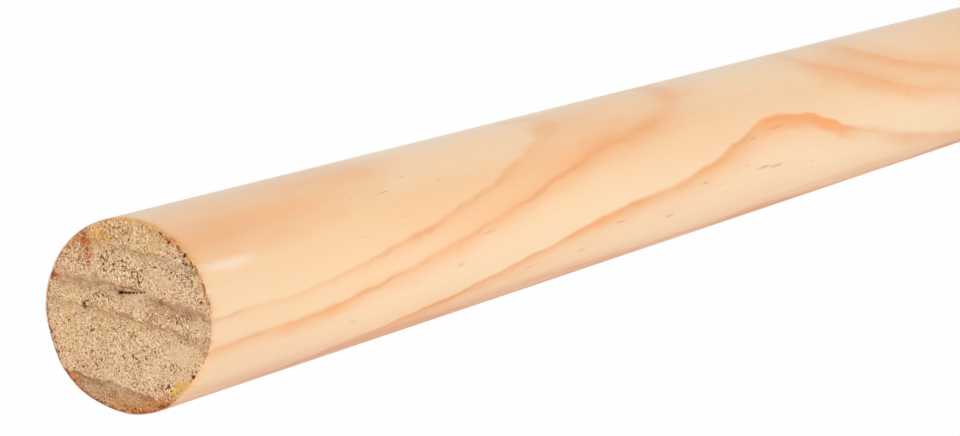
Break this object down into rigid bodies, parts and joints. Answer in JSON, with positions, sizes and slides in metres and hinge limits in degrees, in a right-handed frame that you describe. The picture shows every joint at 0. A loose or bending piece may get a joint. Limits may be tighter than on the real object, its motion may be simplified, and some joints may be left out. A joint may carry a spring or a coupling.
{
  "type": "wooden dowel rod",
  "caption": "Round sanded softwood dowel rod with sawn ends, a drying check and a chipped rim, for pegs, rails and craft work.",
  "frame": {"origin": "centre of the rod's foot, on the surface it stands on", "axes": "+Z along the rod's axis from the plain sawn foot to the rough-sawn top end; the check lies on the +X side"},
  "size_m": [0.0254, 0.0254, 0.3048],
  "materials": {
    "pine": "sanded, unfinished, rough-sawn ends"
  },
  "bodies": {
    "root": {"dowel_rod": "pine"}
  },
  "joints": []
}
